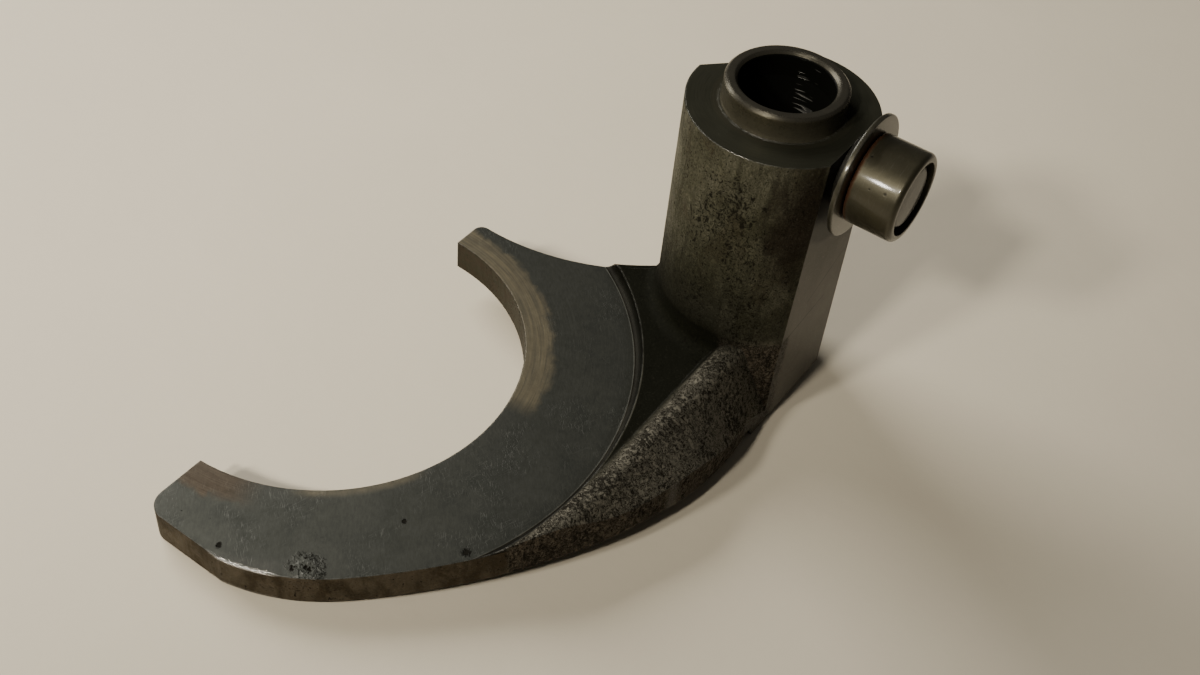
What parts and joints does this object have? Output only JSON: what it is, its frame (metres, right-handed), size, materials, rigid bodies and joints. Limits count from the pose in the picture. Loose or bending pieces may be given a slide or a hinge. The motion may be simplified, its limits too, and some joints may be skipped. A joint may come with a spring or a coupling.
{
  "type": "shift fork",
  "caption": "Forged selector fork: a horseshoe of two flat arms on a ribbed web, a tall bored hub with a collar, and a guide roller turning on a pin at its side.",
  "frame": {"origin": "on the axis of the rod bore, level with the underside of the fork arms", "axes": "+Z along the rod bore towards the collar, +X out of the milled flat along the roller's axis; the arms lie towards -X and -Y"},
  "size_m": [0.0655, 0.1016, 0.0542],
  "materials": {
    "forged_steel": "dark forged skin with machined faces, worn and pitted",
    "pin_steel": "turned, dull",
    "washer_steel": "stamped, dull with a bright rim",
    "roller_steel": "ground and polished by use"
  },
  "bodies": {
    "fork": {"fork_body": "forged_steel", "roller_pin": "pin_steel", "thrust_washer": "washer_steel"},
    "roller": {"guide_roller": "roller_steel"}
  },
  "joints": [
    {"name": "roller_spin", "type": "hinge", "parent": "fork", "child": "roller", "pos_m": [0.01855, 0, 0.0384], "axis": [1, 0, 0], "continuous": true}
  ]
}
